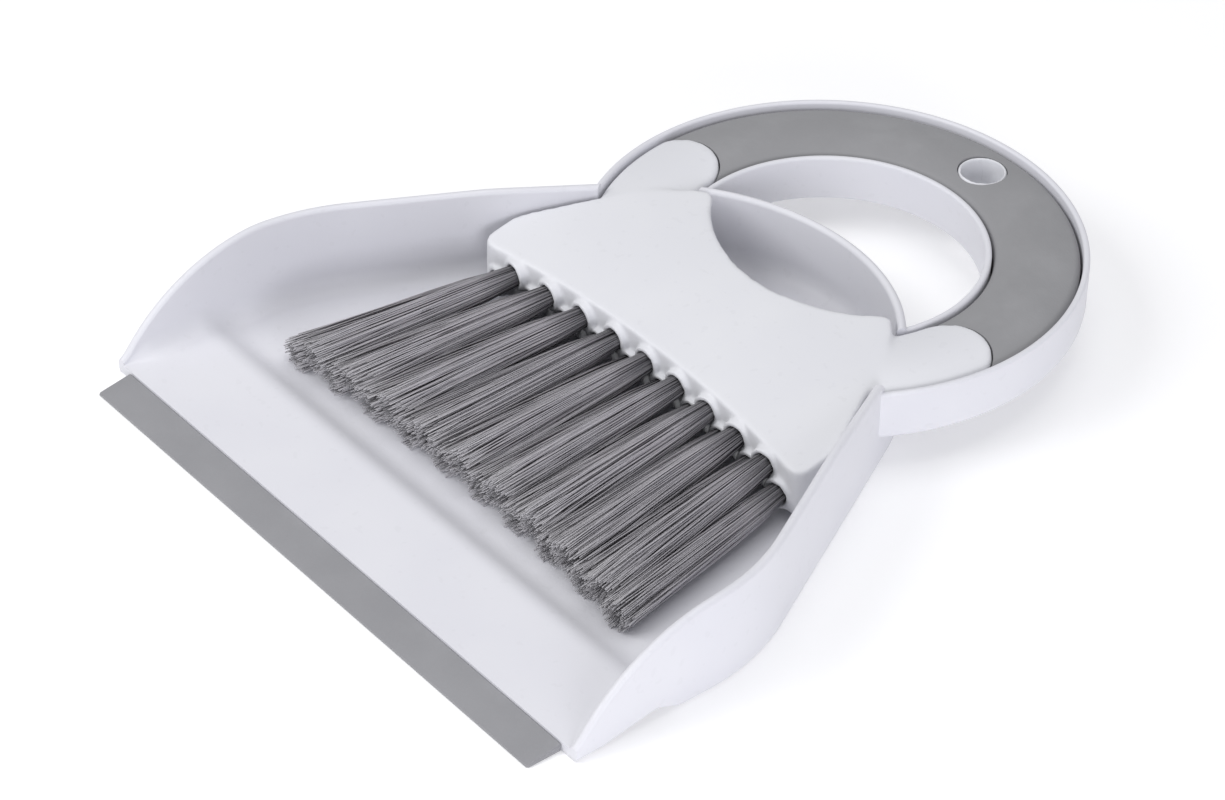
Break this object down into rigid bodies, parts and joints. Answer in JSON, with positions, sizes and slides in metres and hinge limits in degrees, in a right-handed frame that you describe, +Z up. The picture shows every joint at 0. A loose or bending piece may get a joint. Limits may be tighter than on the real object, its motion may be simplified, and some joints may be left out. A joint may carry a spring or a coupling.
{
  "type": "mini dustpan and hand brush set",
  "caption": "Small dustpan with a soft front lip and a ring handle, with a tufted hand brush nested in it whose own ring lies in the pan's ring.",
  "frame": {"origin": "on the floor under the middle of the object, front to back and side to side", "axes": "+Y from the lip back to the ring handle, +X to the right seen from behind the ring, +Z up"},
  "size_m": [0.17, 0.214, 0.025],
  "materials": {
    "pan_plastic": "satin",
    "brush_plastic": "satin",
    "lip_rubber": "matte",
    "grip_rubber": "matte",
    "bristle_nylon": "satin"
  },
  "bodies": {
    "pan_body": {"pan_floor": "pan_plastic", "pan_wall": "pan_plastic", "ring_base": "pan_plastic", "ring_outer_wall": "pan_plastic", "ring_inner_wall": "pan_plastic", "lip": "lip_rubber"},
    "brush_body": {"brush_frame": "brush_plastic", "grip": "grip_rubber", "tuft_top_1": "bristle_nylon", "tuft_top_2": "bristle_nylon", "tuft_top_3": "bristle_nylon", "tuft_top_4": "bristle_nylon", "tuft_top_5": "bristle_nylon", "tuft_top_6": "bristle_nylon", "tuft_top_7": "bristle_nylon", "tuft_top_8": "bristle_nylon", "tuft_top_9": "bristle_nylon", "tuft_low_1": "bristle_nylon", "tuft_low_2": "bristle_nylon", "tuft_low_3": "bristle_nylon", "tuft_low_4": "bristle_nylon", "tuft_low_5": "bristle_nylon", "tuft_low_6": "bristle_nylon", "tuft_low_7": "bristle_nylon", "tuft_low_8": "bristle_nylon", "tuft_low_9": "bristle_nylon", "tuft_low_10": "bristle_nylon"}
  },
  "joints": [
    {"name": "brush_lift", "type": "slide", "parent": "pan_body", "child": "brush_body", "axis": [0, 0, 1], "range_m": [0, 0.06]}
  ]
}
